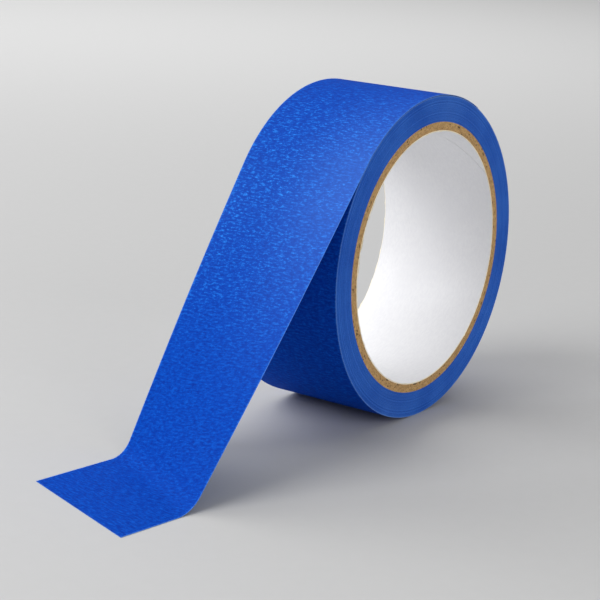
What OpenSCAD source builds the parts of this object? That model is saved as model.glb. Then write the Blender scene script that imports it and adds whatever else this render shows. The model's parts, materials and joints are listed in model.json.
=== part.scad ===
// Roll of blue crepe masking tape on a spiral-wound paper core.
// The tape's outer end is lifted off, runs down as a straight tail and lies flat as a foot.
//
// Frame: the origin is the middle of the roll's axis, +Y runs along that axis and +Z is up.
// The roll stands on its rim, the tail leaves towards -X, and angles round the roll are
// counted from +X towards +Z. Every size is in millimetres.

/* [Core] */
// Inner diameter of the core
core_bore = 76.2; // [50:0.1:100]
// Width of the core along its axis
core_w = 40; // [20:0.5:60]
// Thickness of the white liner
liner_t = 0.3; // [0.2:0.05:0.6]
// Thickness of one kraft ply
ply_t = 0.5; // [0.3:0.05:0.8]
// Distance along the axis that a ply's seam advances in one turn
seam_lead = 110; // [80:5:180]
// Gap between the butted edges of a ply
seam_gap = 0.3; // [0.2:0.05:0.6]

/* [Tape] */
// Width of the tape
tape_w = 40; // [20:0.5:60]
// Thickness of the crepe paper backing
backing_t = 0.1; // [0.08:0.01:0.16]
// Thickness of the adhesive under the backing
adhesive_t = 0.04; // [0.02:0.01:0.06]
// Depth of the wound tape on the core
wound_depth = 7.8; // [4:0.2:12]

/* [Lifted end] */
// Angle round the roll at which the tail leaves it
peel_angle = 142; // [125:1:155]
// Arc of the lifting strip that leads up to the tail, in degrees
strip_arc = 80; // [30:1:120]
// Running gap between the wound tape and the lifting strip
strip_gap = 0.1; // [0.05:0.01:0.3]
// Gap across each line where the tape hinges
hinge_gap = 0.3; // [0.2:0.05:0.6]
// Radius of the bend where the tail meets the ground
bend_r = 12; // [6:0.5:15]
// Length of the flat foot beyond the bend
foot_len = 24; // [10:1:60]

/* [Hidden] */
$fn = 180;
board_colour = [0.72, 0.56, 0.36];
tape_colour = [0.10, 0.32, 0.78];
adhesive_colour = [0.80, 0.78, 0.62];

// Core
ply_count = 5;
bore_r = core_bore / 2;
core_r = bore_r + liner_t + ply_count * ply_t;
first_seam_angle = 100;
seam_angle_step = 67;
seam_stations = 12;
cut_margin = 1;

// Wound tape: an exact spiral of half rings, whose centres alternate between two points that
// lie half a pitch apart on the line where the halves meet. It gains one pitch in radius a turn.
pitch = backing_t + adhesive_t;
half_turns = 2 * floor(wound_depth / pitch);
ground_r = core_r + half_turns * pitch / 2;
spiral_top_r = ground_r + pitch;

// Lifting strip: it rides just clear of the highest turn, so that it can run right round the roll
strip_r = spiral_top_r + strip_gap;
hinge_arc = 2 * asin(hinge_gap / 2 / strip_r);
strip_start_angle = peel_angle - hinge_arc / 2 - strip_arc;
spiral_end_angle = strip_start_angle - hinge_arc;

// Tail: a line tangent to the lifting strip, then a bend that lands on the ground
ground_z = -ground_r;
bend_z = ground_z + bend_r;
bend_x = (strip_r + bend_r - bend_z * sin(peel_angle)) / cos(peel_angle);
tail_len = bend_z * cos(peel_angle) - bend_x * sin(peel_angle);
crease_arc = 2 * asin(hinge_gap / 2 / bend_r);
half_bend = (peel_angle - 90 - crease_arc) / 2;

// Lays a shape drawn round Z round Y instead, with its angles running from +X to +Z
module about_roll_axis() {
    rotate([90, 0, 0]) children();
}

module tube(inner, outer, width) {
    about_roll_axis() difference() {
        cylinder(r = outer, h = width, center = true);
        cylinder(r = inner, h = width + 2 * cut_margin, center = true);
    }
}

// A stretch of a ring as wide as the tape, from one angle through a sweep
module tape_arc(inner, thick, from, sweep) {
    about_roll_axis() rotate([0, 0, from]) rotate_extrude(angle = sweep)
        translate([inner, -tape_w / 2]) square([thick, tape_w]);
}

// A thin helical wedge that parts a ply where its edges butt together
module seam_cutter(inner, outer, start_angle) {
    reach = core_w / 2 + cut_margin;
    half_angle = asin(seam_gap / 2 / inner);
    function corner(r, a, y) = [r * cos(a), y, r * sin(a)];
    function station(y, a) = [
        corner(inner, a - half_angle, y), corner(inner, a + half_angle, y),
        corner(outer, a + half_angle, y), corner(outer, a - half_angle, y)
    ];
    heights = [for (k = [0:seam_stations]) reach * (2 * k / seam_stations - 1)];
    points = [for (y = heights) each station(y, start_angle + 360 * y / seam_lead)];
    last = 4 * seam_stations;
    sides = [for (k = [0:4:last - 1], c = [0:3])
        let (a = k + c, b = k + (c + 1) % 4) each [[a, b, b + 4], [a, b + 4, a + 4]]];
    ends = [[0, 3, 2, 1], [last, last + 1, last + 2, last + 3]];
    polyhedron(points, concat(sides, ends));
}

// One strip of paper wound into a tube, counted outwards from the liner at 0
module core_layer(index, inner, thick) {
    difference() {
        tube(inner, inner + thick, core_w);
        seam_cutter(inner - cut_margin, inner + thick + cut_margin,
            first_seam_angle + index * seam_angle_step);
    }
}

module core_liner() {
    color("white") core_layer(0, bore_r, liner_t);
}

module core_ply(index) {
    color(board_colour) core_layer(index, bore_r + liner_t + (index - 1) * ply_t, ply_t);
}

// A layer of the wound tape. As in the layers below, base and thick are measured through the
// tape, outwards from its sticky side.
module wound_layer(base, thick) {
    rotate([0, -spiral_end_angle, 0]) for (k = [0:half_turns - 1]) {
        is_lower_half = k % 2;
        translate([is_lower_half * pitch / 2, 0, 0])
            tape_arc(core_r + k * pitch / 2 + base, thick, 180 * is_lower_half, 180);
    }
}

module wound_backing() {
    color(tape_colour) wound_layer(adhesive_t, backing_t);
}

module wound_adhesive() {
    color(adhesive_colour) wound_layer(0, adhesive_t);
}

// A layer of the strip that lies on the roll and leads up to the tail
module lifting_layer(base, thick) {
    tape_arc(strip_r + base, thick, strip_start_angle, strip_arc);
}

module lifting_backing() {
    color(tape_colour) lifting_layer(adhesive_t, backing_t);
}

module lifting_adhesive() {
    color(adhesive_colour) lifting_layer(0, adhesive_t);
}

// Places what follows round the middle of the bend
module at_bend() {
    translate([bend_x, 0, bend_z]) children();
}

// A layer of the straight tail with the upper half of the bend
module tail_layer(base, thick) {
    run = tail_len - hinge_gap / 2;
    at_bend() rotate([0, -peel_angle, 0]) {
        translate([base - bend_r, -tape_w / 2, -run]) cube([thick, tape_w, run]);
        mirror([0, 0, 1]) tape_arc(bend_r - base - thick, thick, 180, half_bend);
    }
}

module tail_backing() {
    color(tape_colour) tail_layer(adhesive_t, backing_t);
}

module tail_adhesive() {
    color(adhesive_colour) tail_layer(0, adhesive_t);
}

// A layer of the lower half of the bend with the flat foot
module foot_layer(base, thick) {
    at_bend() {
        tape_arc(bend_r - base - thick, thick, 270, half_bend);
        translate([-foot_len, -tape_w / 2, base - bend_r]) cube([foot_len, tape_w, thick]);
    }
}

module foot_backing() {
    color(tape_colour) foot_layer(adhesive_t, backing_t);
}

module foot_adhesive() {
    color(adhesive_colour) foot_layer(0, adhesive_t);
}

core_liner();
for (i = [1:ply_count]) core_ply(i);
wound_backing();
wound_adhesive();
lifting_backing();
lifting_adhesive();
tail_backing();
tail_adhesive();
foot_backing();
foot_adhesive();
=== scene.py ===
"""Looks of a roll of blue crepe masking tape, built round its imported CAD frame.

The tape is one strip wound in a spiral on a paper core. Its outer end is lifted off, runs down
as a tail and lies flat on the floor. Everything is in metres in the frame's own axes: +Y runs
along the roll's axis, +Z is up and the tail leaves towards -X. Angles round the roll are
counted from +X towards +Z, and "near" is the -Y edge of the tape, which faces the camera.
"""

import json
import math
from collections import namedtuple

import bpy
import numpy as np
from mathutils import Matrix, Vector


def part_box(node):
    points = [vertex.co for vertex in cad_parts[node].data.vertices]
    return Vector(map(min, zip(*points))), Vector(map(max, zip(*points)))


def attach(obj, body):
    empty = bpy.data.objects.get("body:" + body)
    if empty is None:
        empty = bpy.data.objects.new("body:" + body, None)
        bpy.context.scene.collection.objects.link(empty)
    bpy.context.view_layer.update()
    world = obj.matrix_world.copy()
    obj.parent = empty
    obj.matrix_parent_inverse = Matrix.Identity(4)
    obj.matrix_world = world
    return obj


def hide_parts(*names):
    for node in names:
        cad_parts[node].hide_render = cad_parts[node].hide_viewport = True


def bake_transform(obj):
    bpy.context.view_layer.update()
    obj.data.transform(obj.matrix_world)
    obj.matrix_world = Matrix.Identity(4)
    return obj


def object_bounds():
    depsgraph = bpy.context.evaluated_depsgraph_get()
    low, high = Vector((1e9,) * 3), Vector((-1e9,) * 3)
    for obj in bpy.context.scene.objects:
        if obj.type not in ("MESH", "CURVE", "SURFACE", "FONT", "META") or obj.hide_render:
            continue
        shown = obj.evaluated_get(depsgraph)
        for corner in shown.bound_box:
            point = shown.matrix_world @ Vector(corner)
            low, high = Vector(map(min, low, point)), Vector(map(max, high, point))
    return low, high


MM = 0.001

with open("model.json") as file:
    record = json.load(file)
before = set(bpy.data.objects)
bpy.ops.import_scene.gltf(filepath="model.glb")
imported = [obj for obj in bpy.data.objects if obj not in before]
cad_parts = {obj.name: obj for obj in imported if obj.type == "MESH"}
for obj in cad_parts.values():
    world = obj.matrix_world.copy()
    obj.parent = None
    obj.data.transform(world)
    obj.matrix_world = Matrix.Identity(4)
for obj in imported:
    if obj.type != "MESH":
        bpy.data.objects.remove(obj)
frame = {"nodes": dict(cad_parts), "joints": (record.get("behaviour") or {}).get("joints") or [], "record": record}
cad_bounds = [list(corner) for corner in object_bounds()]
chance = np.random.default_rng(11)

# ---------------------------------------------------------------- sizes, all from the frame

joints = {joint["name"]: joint for joint in frame["joints"]}
mounts = {mount["name"]: mount for mount in frame["record"]["mounts"]}
ply_nodes = sorted(name for name in frame["nodes"] if name.startswith("core_ply"))


def top(node):
    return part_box(node)[1].z


bore_r = mounts["core_bore"]["dims"]["r_mm"] * MM
core_r = max(top(name) for name in ply_nodes)
half_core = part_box("core_liner")[1].y
half_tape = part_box("wound_backing")[1].y
ground_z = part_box("foot_adhesive")[0].z
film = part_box("foot_backing")[0].z - ground_z
backing = top("lifting_backing") - top("lifting_adhesive")
pitch = film + backing
turns = round((-ground_z - core_r) / pitch)
roll_r = -ground_z
strip_start = math.acos(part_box("lifting_backing")[1].x / top("lifting_backing"))
peel_at = Vector(joints["peel"]["pos_m"])
crease_at = Vector(joints["crease"]["pos_m"])
peel_angle = math.atan2(peel_at.z, peel_at.x)
foot_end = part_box("foot_backing")[0].x

# ---------------------------------------------------------------- meshes

SHARP_ANGLE = math.radians(35)


def noise_along(count, knots, height):
    """A smooth wandering line of count values, with its ends equal so that it can close."""
    values = chance.normal(0, height, knots)
    places = np.linspace(0, knots, count)
    whole = np.floor(places).astype(int)
    part = places - whole
    ease = part * part * (3 - 2 * part)
    return values[whole % knots] * (1 - ease) + values[(whole + 1) % knots] * ease


def strip_mesh(name, inner, outer, along, across, painted_sheen, face_material, cut_material):
    """A closed thin strip between two surfaces, each an array [row, column, xyz].

    Rows run along the tape and columns towards +Y. Its cut edges take their own material, and
    its texture map holds metres along and across the tape. The painted sheen, from 0 to 1 for
    each row, is how much painted sheen and painted glint the crepe face gets there.
    """
    rows, columns = inner.shape[:2]
    count = rows * columns
    points = np.concatenate([inner.reshape(-1, 3), outer.reshape(-1, 3)])
    index = np.arange(count).reshape(rows, columns)

    def quads(a, b, c, d):
        return np.stack([a, b, c, d], axis=-1).reshape(-1, 4)

    here, right = index[:-1, :-1], index[:-1, 1:]
    ahead, ahead_right = index[1:, :-1], index[1:, 1:]
    faces = [
        quads(here, ahead, ahead_right, right),
        quads(here, right, ahead_right, ahead) + count,
    ]
    near, far, first, last = index[:, 0], index[:, -1], index[0], index[-1]
    cuts = [
        quads(near[:-1], near[:-1] + count, near[1:] + count, near[1:]),
        quads(far[:-1], far[1:], far[1:] + count, far[:-1] + count),
        quads(first[:-1], first[1:], first[1:] + count, first[:-1] + count),
        quads(last[:-1], last[:-1] + count, last[1:] + count, last[1:]),
    ]
    polygons = np.concatenate(faces + cuts)
    mesh = bpy.data.meshes.new(name)
    mesh.from_pydata(points.tolist(), [], polygons.tolist())
    mesh.materials.append(face_material)
    mesh.materials.append(cut_material)
    slots = np.zeros(len(polygons), int)
    slots[sum(len(part) for part in faces):] = 1
    mesh.polygons.foreach_set("material_index", slots)
    corners = polygons.ravel() % count
    places = np.stack([along.ravel()[corners], across.ravel()[corners]], axis=-1)
    mesh.uv_layers.new(name="tape").data.foreach_set("uv", places.ravel())
    # Each row's share of painted sheen, kept on the mesh for the crepe shader.
    painted_sheen_points = np.tile(np.repeat(painted_sheen, columns), 2)
    mesh.attributes.new("painted_sheen", "FLOAT", "POINT").data.foreach_set("value", painted_sheen_points)
    mesh.shade_smooth()
    mesh.set_sharp_from_angle(angle=SHARP_ANGLE)
    mesh.update()
    piece = bpy.data.objects.new(name, mesh)
    bpy.context.scene.collection.objects.link(piece)
    return piece


# ---------------------------------------------------------------- shader helpers


def feed(material, socket, value):
    """Gives a socket a number, a colour or another node's output."""
    if isinstance(value, bpy.types.NodeSocket):
        material.node_tree.links.new(value, socket)
    else:
        socket.default_value = value


def add(material, kind, inputs=None, **settings):
    """Adds a shader node with its settings and inputs."""
    node = material.node_tree.nodes.new("ShaderNode" + kind)
    for key, value in settings.items():
        setattr(node, key, value)
    for key, value in (inputs or {}).items():
        feed(material, node.inputs[key], value)
    return node


def new_material(name, **inputs):
    """A material with a Principled shader, and that shader."""
    material = bpy.data.materials.new(name)
    material.use_nodes = True
    shader = material.node_tree.nodes["Principled BSDF"]
    for key, value in inputs.items():
        shader.inputs[key.replace("_", " ")].default_value = value
    return material, shader


def noise(material, place, cells, detail=3.0, roughness=0.55, distortion=0.0):
    """Noise with its own count of cells a metre along each axis of place."""
    scaled = add(material, "Mapping", {"Vector": place, "Scale": cells})
    return add(material, "TexNoise", {
        "Vector": scaled.outputs["Vector"], "Scale": 1.0, "Detail": detail,
        "Roughness": roughness, "Distortion": distortion}).outputs["Fac"]


def remap(material, value, low, high, to_low=0.0, to_high=1.0):
    """Value between low and high, stretched smoothly over a new range."""
    return add(material, "MapRange", {
        "Value": value, "From Min": low, "From Max": high,
        "To Min": to_low, "To Max": to_high}, interpolation_type="SMOOTHSTEP").outputs["Result"]


def maths(material, operation, first, second=0.0):
    return add(material, "Math", {0: first, 1: second}, operation=operation).outputs["Value"]


def product(material, first, second):
    return maths(material, "MULTIPLY", first, second)


def weighted(material, *parts):
    """The sum of several values, each given with its share."""
    total = None
    for value, share in parts:
        part = product(material, value, share)
        total = part if total is None else maths(material, "ADD", total, part)
    return total


def mix(material, amount, first, second):
    """A colour between two others, nearer the second as the amount goes from 0 to 1."""
    node = add(material, "Mix", data_type="RGBA")
    colour_a, colour_b = (socket for socket in node.inputs
                          if socket.type == "RGBA" and socket.name in ("A", "B"))
    feed(material, node.inputs["Factor"], amount)
    feed(material, colour_a, first)
    feed(material, colour_b, second)
    return next(socket for socket in node.outputs if socket.type == "RGBA")


def tinted(material, base, *tints):
    """The base colour with others laid over it in turn, each given after its amount."""
    for amount, tint in tints:
        base = mix(material, amount, base, tint)
    return base


def colour(red, green, blue):
    """A colour given in screen values from 0 to 255."""
    def linear(value):
        share = value / 255
        return share / 12.92 if share < 0.04045 else ((share + 0.055) / 1.055) ** 2.4
    return (linear(red), linear(green), linear(blue), 1.0)


def tape_place(material):
    return add(material, "UVMap", uv_map="tape").outputs["UV"]


def object_place(material):
    return add(material, "TexCoord").outputs["Object"]


def split(material, place):
    return add(material, "SeparateXYZ", {"Vector": place}).outputs


def finish_shader(material, shader, base, roughness, height, depth):
    """Joins colour, roughness and a bump map of the given depth to the shader."""
    feed(material, shader.inputs["Base Color"], base)
    feed(material, shader.inputs["Roughness"], roughness)
    relief = add(material, "Bump", {"Height": height, "Distance": depth, "Strength": 1.0})
    feed(material, shader.inputs["Normal"], relief.outputs["Normal"])


# ---------------------------------------------------------------- materials

CREPE_DARK = colour(4, 52, 156)
CREPE_PALE = colour(6, 80, 194)
CREPE_CLOUD = colour(0, 66, 180)
# Pale fibre flecks, partly painted glints.
CREPE_FLECK_AND_GLINT = colour(44, 146, 250)
# A painted sheen.
CREPE_SHEEN = colour(92, 138, 230)
CREPE_WORN = colour(64, 130, 228)
CREPE_CUT_DARK = colour(18, 78, 182)
CREPE_CUT_PALE = colour(60, 124, 222)
FILM_CUT_DARK = colour(36, 86, 176)
FILM_CUT_PALE = colour(84, 132, 208)
# A painted highlight for the roll's outer rim.
RIM_HIGHLIGHT = colour(122, 160, 222)
FILM_DARK = colour(66, 112, 196)
FILM_PALE = colour(98, 142, 214)
FILM_MILKY = colour(150, 172, 206)
KRAFT_DARK = colour(158, 120, 70)
KRAFT_PALE = colour(214, 174, 116)
KRAFT_CLOUD = colour(186, 144, 92)
KRAFT_DARK_SPECK = colour(104, 68, 34)
KRAFT_PALE_SPECK = colour(226, 200, 152)
KRAFT_SAW_MARK = colour(70, 46, 22)
LINER_DARK = colour(238, 238, 241)
LINER_PALE = colour(244, 244, 246)
LINER_RAW = colour(252, 244, 222)
TORN_DARK = colour(238, 222, 182)
TORN_PALE = colour(254, 248, 230)
FLOOR_DARK = colour(194, 194, 194)
FLOOR_PALE = colour(197, 197, 197)

RIM_WIDTH = 0.35 * MM
EDGE_WEAR_WIDTH = 0.5 * MM
RINGS_A_METRE = 2600.0
GRAIN_SHIFT = (0.013, 0.007, 0.0)


def crepe_material():
    """The tape's blue face: wrinkles, flecks partly of fibre and partly painted glint, a painted sheen, worn
    edges.
    """
    material, shader = new_material("crepe_face", Metallic=0.0, IOR=1.45, Specular_IOR_Level=0.02)
    place = tape_place(material)
    wrinkles = noise(material, place, cells=(1700, 430, 1), detail=3, roughness=0.6,
                     distortion=0.25)
    speckle = noise(material, place, cells=(1500, 1000, 1), detail=4, roughness=0.75)
    clouds = noise(material, place, cells=(110, 75, 1), detail=3)
    painted_sheen = add(material, "Attribute", attribute_name="painted_sheen").outputs["Fac"]
    across = split(material, place)["Y"]

    tone = weighted(material, (wrinkles, 0.5), (speckle, 0.5))
    cloudy = remap(material, clouds, 0.35, 0.65, 0.0, 0.3)
    streaks = remap(material, tone, 0.505, 0.63)
    patches = remap(material, clouds, 0.34, 0.6, 0.45, 1.0)
    # Pale flecks: partly crepe fibre, partly painted glints, gated by the painted sheen share.
    flecks_and_glints = product(material, product(material, streaks, patches),
                     remap(material, painted_sheen, 0.25, 1.0, 0.12, 0.85))
    # Painted sheen: paler towards the near edge, strongest where the painted sheen share is full.
    near_edge_sheen = product(material, product(material, painted_sheen, painted_sheen),
                       remap(material, across, 0.5 * half_tape, -half_tape, 0.1, 0.34))
    to_edge = maths(material, "SUBTRACT", half_tape, maths(material, "ABSOLUTE", across))
    edge_wear_and_rim_highlight = product(material, remap(material, to_edge, EDGE_WEAR_WIDTH, 0.0),
                   remap(material, speckle, 0.35, 0.6, 0.25, 0.8))

    base = mix(material, remap(material, tone, 0.38, 0.62), CREPE_DARK, CREPE_PALE)
    base = tinted(material, base, (cloudy, CREPE_CLOUD), (flecks_and_glints, CREPE_FLECK_AND_GLINT),
                  (near_edge_sheen, CREPE_SHEEN), (edge_wear_and_rim_highlight, CREPE_WORN))
    finish_shader(material, shader, base,
                  roughness=remap(material, speckle, 0.3, 0.7, 0.56, 0.74),
                  height=weighted(material, (wrinkles, 0.75), (speckle, 0.25)),
                  depth=0.09 * MM)
    return material


def cut_edge_material(name, dark, pale, low_rough, high_rough):
    """Slit edges of the tape: rings round the roll's axis in slightly different tones.

    Where they reach the roll's outer radius they carry a thin painted highlight.
    """
    material, shader = new_material(name, Metallic=0.0, Specular_IOR_Level=0.15)
    place = object_place(material)
    parts = split(material, place)
    flat = add(material, "CombineXYZ", {"X": parts["X"], "Y": parts["Z"]})
    radius = add(material, "VectorMath", {0: flat.outputs["Vector"]},
                 operation="LENGTH").outputs["Value"]
    rings = add(material, "TexNoise", {"W": radius, "Scale": RINGS_A_METRE, "Detail": 3.0},
                noise_dimensions="1D").outputs["Fac"]
    grain = noise(material, place, cells=(2400, 2400, 2400), detail=4, roughness=0.7)
    clouds = noise(material, place, cells=(70, 70, 70), detail=2)

    tone = weighted(material, (rings, 0.35), (grain, 0.4), (clouds, 0.25))
    base = mix(material, remap(material, tone, 0.36, 0.64), dark, pale)
    # A painted highlight along the roll's outer rim, broken up by the grain.
    edge_wear_and_rim_highlight = product(material, remap(material, radius, roll_r - RIM_WIDTH, roll_r),
                   remap(material, grain, 0.35, 0.6, 0.35, 0.9))
    base = mix(material, edge_wear_and_rim_highlight, base, RIM_HIGHLIGHT)
    finish_shader(material, shader, base,
                  roughness=remap(material, grain, 0.3, 0.7, low_rough, high_rough),
                  height=weighted(material, (rings, 0.6), (grain, 0.4)),
                  depth=0.05 * MM)
    return material


def adhesive_material():
    """The thin tacky film: a milky gloss through which the blue paper shows."""
    material, shader = new_material("adhesive_film", Metallic=0.0, IOR=1.5)
    place = tape_place(material)
    wrinkles = noise(material, place, cells=(1900, 380, 1), detail=3)
    clouds = noise(material, place, cells=(240, 160, 1), detail=4, roughness=0.65)
    milky = remap(material, clouds, 0.42, 0.7, 0.0, 0.2)
    base = mix(material, remap(material, wrinkles, 0.35, 0.65), FILM_DARK, FILM_PALE)
    base = mix(material, milky, base, FILM_MILKY)
    finish_shader(material, shader, base,
                  roughness=remap(material, clouds, 0.3, 0.7, 0.18, 0.42),
                  height=wrinkles,
                  depth=0.04 * MM)
    return material


def board_material(ply):
    """Kraft board with dark specks, pale fibres and sawdust marks, its grain new on each ply."""
    material, shader = new_material(f"kraft_board_{ply}", Metallic=0.0)
    place = add(material, "Mapping", {
        "Vector": object_place(material),
        "Location": [ply * shift for shift in GRAIN_SHIFT]}).outputs["Vector"]
    fibres = noise(material, place, cells=(900, 3200, 900), detail=5, roughness=0.65,
                   distortion=0.6)
    specks = noise(material, place, cells=(2100, 2100, 2100), detail=2, roughness=0.5)
    clouds = noise(material, place, cells=(160, 160, 160), detail=3)
    marks = noise(material, place, cells=(620, 620, 620), detail=1, roughness=0.4)

    base = mix(material, remap(material, fibres, 0.3, 0.7), KRAFT_DARK, KRAFT_PALE)
    base = tinted(material, base,
                  (remap(material, clouds, 0.35, 0.65, 0.0, 0.4), KRAFT_CLOUD),
                  (remap(material, specks, 0.62, 0.72, 0.0, 0.75), KRAFT_DARK_SPECK),
                  (remap(material, specks, 0.38, 0.28, 0.0, 0.5), KRAFT_PALE_SPECK),
                  (remap(material, marks, 0.66, 0.71, 0.0, 0.85), KRAFT_SAW_MARK))
    finish_shader(material, shader, base,
                  roughness=remap(material, fibres, 0.3, 0.7, 0.72, 0.92),
                  height=weighted(material, (fibres, 0.6), (specks, 0.4)),
                  depth=0.12 * MM)
    return material


def liner_material(name, dark, pale, raw=None):
    """Smooth paper with faint fibres and handling marks, and a raw tone on its cut ends."""
    material, shader = new_material(name, Metallic=0.0, IOR=1.45)
    place = object_place(material)
    fibres = noise(material, place, cells=(700, 1600, 700), detail=5, roughness=0.6,
                   distortion=0.3)
    clouds = noise(material, place, cells=(45, 45, 45), detail=3)
    base = mix(material, remap(material, fibres, 0.3, 0.7), dark, pale)
    handled = remap(material, clouds, 0.45, 0.7, 0.0, 0.5)
    base = mix(material, handled, base, dark)
    if raw:
        off_middle = maths(material, "ABSOLUTE", split(material, place)["Y"])
        at_end = remap(material, off_middle, half_core - 0.25 * MM, half_core - 0.02 * MM)
        base = mix(material, at_end, base, raw)
    finish_shader(material, shader, base,
                  roughness=remap(material, clouds, 0.3, 0.7, 0.34, 0.52),
                  height=fibres,
                  depth=0.006 * MM)
    return material


def floor_material():
    material, shader = new_material("pale_floor", Roughness=0.85)
    grain = noise(material, object_place(material), cells=(220, 220, 220), detail=3)
    feed(material, shader.inputs["Base Color"], mix(material, grain, FLOOR_DARK, FLOOR_PALE))
    return material


crepe = crepe_material()
crepe_cut = cut_edge_material("crepe_edges", CREPE_CUT_DARK, CREPE_CUT_PALE,
                              low_rough=0.5, high_rough=0.7)
film_face = adhesive_material()
film_cut = cut_edge_material("film_edges", FILM_CUT_DARK, FILM_CUT_PALE,
                             low_rough=0.35, high_rough=0.55)
liner = liner_material("liner_paper", LINER_DARK, LINER_PALE, raw=LINER_RAW)
torn_paper = liner_material("torn_paper", TORN_DARK, TORN_PALE)

# ---------------------------------------------------------------- the wound tape

STATIONS_A_TURN = 96
FILM_INSET = 0.05 * MM  # how far the film's edges are held back from the paper's

# Each turn wanders a little sideways, and the last ones lie straighter under the free tape.
SLIP_SPREAD = 0.05 * MM
SLIP_SMOOTHING = [0.25, 0.5, 0.25]
SLIP_JITTER = 0.02 * MM
OUTER_TURNS = 3
OUTER_SLIP_SHARE = 0.3

wound_stations = turns * STATIONS_A_TURN + 1
turn_slips = chance.normal(0, SLIP_SPREAD, turns + 2)
turn_slips = np.convolve(turn_slips, SLIP_SMOOTHING, mode="same")
turn_slips += chance.normal(0, SLIP_JITTER, turns + 2)
turn_slips[-OUTER_TURNS:] *= OUTER_SLIP_SHARE
slips = np.interp(np.linspace(0, turns, wound_stations), np.arange(turns + 2), turn_slips)


def wound_strip(name, base, thick, inset, face, cut):
    """One layer of the spiral, from base to base + thick above each turn's sticky side.

    As in the frame, the radius rises only on the second half of each turn. Inset holds the
    strip's two edges back.
    """
    progress = np.linspace(0, turns, wound_stations)
    turn = np.minimum(np.floor(progress), turns - 1)
    local = 2 * math.pi * (progress - turn)
    climb = np.where(local > math.pi, (1 + np.cos(local)) / 2, 0)
    sticky_r = core_r + pitch * (turn + climb)
    angle = local + strip_start
    edges_y = np.stack([slips - half_tape + inset, slips + half_tape - inset], axis=-1)

    def surface(radius):
        x = np.repeat((radius * np.cos(angle))[:, None], 2, axis=1)
        z = np.repeat((radius * np.sin(angle))[:, None], 2, axis=1)
        return np.stack([x, edges_y, z], axis=-1)

    along = np.repeat((2 * math.pi * progress * (core_r + pitch * progress / 2))[:, None], 2, 1)
    across = np.repeat([[-half_tape, half_tape]], wound_stations, axis=0)
    return strip_mesh(name, surface(sticky_r + base), surface(sticky_r + base + thick),
                      along, across, np.zeros(wound_stations), face, cut)


wound_backing = wound_strip("wound_tape_paper", film, backing, 0.0, crepe, crepe_cut)
wound_film = wound_strip("wound_tape_film", 0.0, film, FILM_INSET, film_face, film_cut)
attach(wound_backing, "roll")
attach(wound_film, "roll")
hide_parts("wound_backing")
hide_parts("wound_adhesive")

# ---------------------------------------------------------------- the free tape

# The tape leaves the roll along a slanted line, so the tail twists a little, its foot turns
# towards +Y and its bend is tighter on the far side. Side runs from -1, near, to 1, far, and
# each spread is added once at the far edge and taken off once at the near edge.
LIFT_CLEARANCE = 0.01 * MM  # from the outermost turn, where that stands highest
LEAVE_MEAN = peel_angle - math.radians(0.7)  # where round the roll the tape lifts off
LEAVE_SPREAD = math.radians(4.8)
BEND_MEAN = 10.2 * MM  # radius of the bend at the floor
BEND_SPREAD = -1.8 * MM
TAIL_SWAY = -2.0 * MM  # sideways move of the tail's lower end, towards +Y if positive
TAIL_WIDEN = 0.04  # share by which the lower end is wider than the tape
TAIL_BULGE = 0.75 * MM  # bow of the middle of the tail, outwards at its far edge
FOOT_YAW = math.radians(5.9)
CUT_OVERHANG = 0.6 * MM  # middle of the cut end past the end of the frame's foot
CUT_SKEW = 7.5 * MM  # far corner of the cut end short of its middle
COLUMNS = 25
Station = namedtuple("Station", "x y z normal along")

strip_r = core_r + (turns + 1) * pitch + LIFT_CLEARANCE
side = np.linspace(-1, 1, COLUMNS)
leave = LEAVE_MEAN + LEAVE_SPREAD * side
bend_r = BEND_MEAN + BEND_SPREAD * side
bend_turn = leave - math.pi / 2
drop = (strip_r * np.sin(leave) - ground_z) / -np.cos(leave)
straight = drop - bend_r * np.tan(bend_turn / 2)
tail_end_x = strip_r * np.cos(leave) - straight * np.sin(leave)
bend_end_x = tail_end_x - bend_r * np.sin(bend_turn)
foot_run = bend_end_x - (foot_end - CUT_OVERHANG + CUT_SKEW * side)
foot_slope = math.tan(FOOT_YAW)
tail_end_y = side * half_tape * (1 + TAIL_WIDEN) + TAIL_SWAY
bend_end_y = tail_end_y + foot_slope * (tail_end_x - bend_end_x) / 2


# Each of these four gives the sticky side's points at a share of one stretch, the angle of the
# paper's normal there and the length of tape since the strip's start.


def on_roll(share):
    angle = strip_start + (leave - strip_start) * share
    return Station(strip_r * np.cos(angle), side * half_tape, strip_r * np.sin(angle), angle,
                   strip_r * (angle - strip_start))


def on_tail(share):
    run = straight * share
    bulge = TAIL_BULGE * math.sin(math.pi * share) * side
    x = strip_r * np.cos(leave) - run * np.sin(leave) + bulge * np.cos(leave)
    z = strip_r * np.sin(leave) + run * np.cos(leave) + bulge * np.sin(leave)
    y = side * half_tape + (tail_end_y - side * half_tape) * share
    return Station(x, y, z, leave, on_roll(1).along + run)


def on_bend(share):
    normal = leave - bend_turn * share
    centre_x = tail_end_x + bend_r * np.cos(leave)
    centre_z = ground_z + bend_r
    y = tail_end_y + (bend_end_y - tail_end_y) * share * share
    return Station(centre_x - bend_r * np.cos(normal), y, centre_z - bend_r * np.sin(normal),
                   normal, on_tail(1).along + bend_r * bend_turn * share)


def on_foot(share):
    run = foot_run * share
    return Station(bend_end_x - run, bend_end_y + foot_slope * run, np.full(COLUMNS, ground_z),
                   np.full(COLUMNS, math.pi / 2), on_bend(1).along + run)


def stretch(path, steps, first=0.0, last=1.0):
    return [path(share) for share in np.linspace(first, last, steps + 1)]


def run_to(path, share):
    """Mean length of tape from the strip's start to a place on one stretch."""
    return float(path(share).along.mean())


# Painted sheen along the tape: rising over the roll to full where it leaves, fading down the tail.
painted_sheen_places = [0.0, run_to(on_roll, 0.6), run_to(on_roll, 1.0), run_to(on_tail, 0.15),
               run_to(on_tail, 0.8)]
PAINTED_SHEEN_VALUES = [0.0, 0.6, 1.0, 1.0, 0.15]


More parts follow.
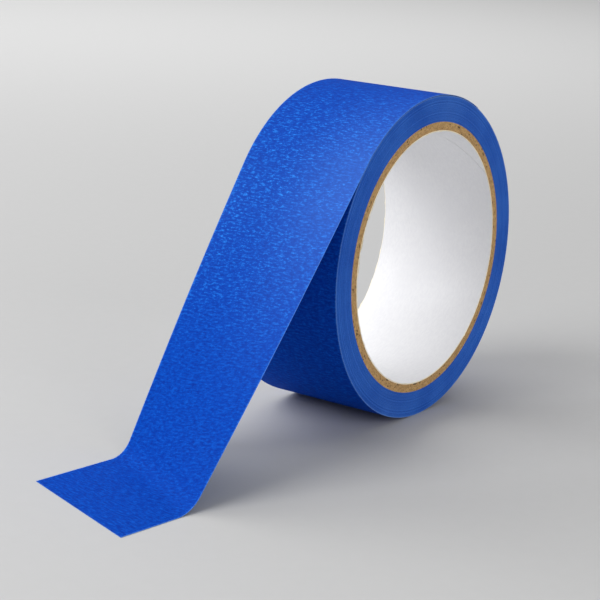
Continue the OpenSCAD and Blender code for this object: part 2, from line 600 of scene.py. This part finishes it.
def free_layer(name, stations, base, thick, inset, face, cut):
    """A sheet of the free tape, from base to base + thick above its sticky side.

    It comes with the mean length of its fibres.
    """
    x, y, z, normal, along = (np.array(part) for part in zip(*stations))
    y = y + inset * -side

    def surface(height):
        return np.stack([x + height * np.cos(normal), y, z + height * np.sin(normal)], axis=-1)

    across = np.repeat((side * half_tape)[None, :], len(x), axis=0)
    painted_sheen = np.interp(along[:, COLUMNS // 2], painted_sheen_places, PAINTED_SHEEN_VALUES)
    piece = strip_mesh(name, surface(base), surface(base + thick), along, across, painted_sheen, face, cut)
    return piece, float((along[-1] - along[0]).mean())


# The sheets part half way down the tail.
# Their film is drawn a little thinner than it is, so that it shares no face with the paper.
TAIL_SPLIT = 0.5
FILM_SHARE = 0.98
ROLL_STEPS = 50
TAIL_STEPS = 40
BEND_STEPS = 18
FOOT_STEPS = 24
PEEL_BLEND = 18 * MM
CREASE_BLEND = 9 * MM
upper_stations = (stretch(on_roll, ROLL_STEPS)
                  + stretch(on_tail, TAIL_STEPS, 0.0, TAIL_SPLIT)[1:])
lower_stations = (stretch(on_tail, TAIL_STEPS, TAIL_SPLIT, 1.0)
                  + stretch(on_bend, BEND_STEPS)[1:] + stretch(on_foot, FOOT_STEPS)[1:])
tail_direction = Vector((-math.sin(peel_angle), 0, math.cos(peel_angle)))
foot_direction = Vector((-1, 0, 0))
crease_direction = (tail_direction + foot_direction).normalized()
peel_span = (peel_at, peel_at + tail_direction * PEEL_BLEND)
crease_span = (crease_at - crease_direction * CREASE_BLEND,
               crease_at + crease_direction * CREASE_BLEND)

free_parts = [
    ("upper", upper_stations, ["lifting"], ("lifting_strip", "tail"), peel_span),
    ("lower", lower_stations, ["tail", "foot"], ("tail", "foot"), crease_span),
]
free_layers = [
    ("paper", film, backing, 0.0, crepe, crepe_cut, "backing", "crepe_backing"),
    ("film", 0.0, film * FILM_SHARE, FILM_INSET, film_face, film_cut, "adhesive", "adhesive"),
]
for part, stations, nodes, bodies, span in free_parts:
    for layer, base, thick, inset, face, cut, suffix, slot in free_layers:
        piece, length = free_layer(f"free_tape_{part}_{layer}", stations, base, thick, inset,
                                   face, cut)
        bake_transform(piece)
        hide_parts(*[f"{node}_{suffix}" for node in nodes])

# ---------------------------------------------------------------- the core

frame["nodes"]["core_liner"].data.materials[0] = liner
for count, name in enumerate(ply_nodes):
    frame["nodes"][name].data.materials[0] = board_material(count)

# The torn lip of paper at each end of the bore. It starts a little inside the liner's end,
# wanders in height, and leans a little into the bore on average.
BURR_ROWS = 721
BURR_THICK = 0.06 * MM
BURR_HEIGHT = 0.08 * MM
BURR_LOWEST = 0.02 * MM
BURR_HIGHEST = 0.3 * MM
BURR_SINK = 0.02 * MM
BURR_LEAN = 0.02 * MM
BURR_MAP_WIDTH = 0.2 * MM


def core_burr(name, end):
    """The lip that a slitting knife leaves at end -1, near, or 1, far."""
    angle = np.linspace(0, 2 * math.pi, BURR_ROWS)
    waves = noise_along(BURR_ROWS, knots=90, height=0.08 * MM)
    teeth = noise_along(BURR_ROWS, knots=260, height=0.05 * MM)
    height = np.clip(BURR_HEIGHT + waves + teeth, BURR_LOWEST, BURR_HIGHEST)
    lean = noise_along(BURR_ROWS, knots=120, height=0.06 * MM)
    lip = np.array([0.0, 0.5, 1.0])

    def surface(offset):
        radius = bore_r + offset - (lean[:, None] * lip) - BURR_LEAN * lip
        y = end * (half_core - BURR_SINK + height[:, None] * lip)
        x, z = radius * np.cos(angle)[:, None], radius * np.sin(angle)[:, None]
        outwards = np.stack([x, y, z], axis=-1)
        # At the near end outwards is towards -Y, and columns have to run towards +Y.
        return outwards if end > 0 else outwards[:, ::-1]

    along = np.repeat((angle * bore_r)[:, None], len(lip), axis=1)
    across = np.repeat([lip * BURR_MAP_WIDTH], BURR_ROWS, axis=0)
    piece = strip_mesh(name, surface(0.0), surface(BURR_THICK), along, across,
                       np.zeros(BURR_ROWS), torn_paper, torn_paper)
    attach(piece, "roll")


core_burr("near_burr", -1)
core_burr("far_burr", 1)

# ---------------------------------------------------------------- floor and light

FLOOR_HALF = 4.0
FLOOR_DROP = 0.02 * MM
SKY_STRENGTH = 0.38

scene = bpy.context.scene
scene.view_settings.view_transform = "Standard"
floor_corners = [(x * FLOOR_HALF, y * FLOOR_HALF, 0)
                 for x, y in ((-1, -1), (1, -1), (1, 1), (-1, 1))]
floor_mesh = bpy.data.meshes.new("floor")
floor_mesh.from_pydata(floor_corners, [], [(0, 1, 2, 3)])
floor_mesh.materials.append(floor_material())
floor = bpy.data.objects.new("floor", floor_mesh)
floor.location.z = ground_z - FLOOR_DROP
scene.collection.objects.link(floor)

world = bpy.data.worlds.new("studio")
scene.world = world
world.use_nodes = True
sky = world.node_tree.nodes["Background"]
sky.inputs["Color"].default_value = (1, 1, 1, 1)
sky.inputs["Strength"].default_value = SKY_STRENGTH


def soft_light(name, towards, distance, size, power, aim=(0, 0, 0)):
    """A square softbox at a distance from the object, aimed at a point given from its middle."""
    light = bpy.data.lights.new(name, "AREA")
    light.shape = "SQUARE"
    light.size = size
    light.energy = power
    lamp = bpy.data.objects.new(name, light)
    middle = (Vector(cad_bounds[0]) + Vector(cad_bounds[1])) / 2
    lamp.location = middle + Vector(towards).normalized() * distance
    facing = lamp.location - middle - Vector(aim)
    lamp.rotation_euler = facing.to_track_quat("Z", "Y").to_euler()
    scene.collection.objects.link(lamp)


soft_light("key", towards=(-0.75, 0.35, 0.7), distance=0.9, size=0.6, power=5.2)
soft_light("front_fill", towards=(-0.25, -1.0, 0.3), distance=1.6, size=1.1, power=7.4)
soft_light("back_fill", towards=(0.1, 1.0, 0.7), distance=1.6, size=1.1, power=9.0)
soft_light("far_floor", towards=(0.6, 0.5, 0.6), distance=1.5, size=1.0, power=8.0,
           aim=(1.2, 1.0, 0))

# ---------------------------------------------------------------- camera

# Fitted to the rims of the core and the roll in the photo.
CAMERA_AZIMUTH = math.radians(-55.38)
CAMERA_ELEVATION = math.radians(14.22)
CAMERA_ROLL = math.radians(3.13)
CAMERA_AIM = Vector((-65.89, -20.0, -1.19)) * MM
CAMERA_DISTANCE = 499.22 * MM
CAMERA_LENS = 111.07
CAMERA_NEAREST = 0.01

back = Vector((math.sin(CAMERA_AZIMUTH) * math.cos(CAMERA_ELEVATION),
               -math.cos(CAMERA_AZIMUTH) * math.cos(CAMERA_ELEVATION),
               math.sin(CAMERA_ELEVATION)))
level_right = Vector((0, 0, 1)).cross(back).normalized()
level_up = back.cross(level_right)
right = level_right * math.cos(CAMERA_ROLL) + level_up * math.sin(CAMERA_ROLL)
up = back.cross(right)
lens = bpy.data.cameras.new("camera")
lens.lens = CAMERA_LENS
lens.clip_start = CAMERA_NEAREST
camera = bpy.data.objects.new("camera", lens)
camera.matrix_world = Matrix.Translation(CAMERA_AIM + back * CAMERA_DISTANCE) @ Matrix(
    (right, up, back)).transposed().to_4x4()
scene.collection.objects.link(camera)
scene.camera = camera
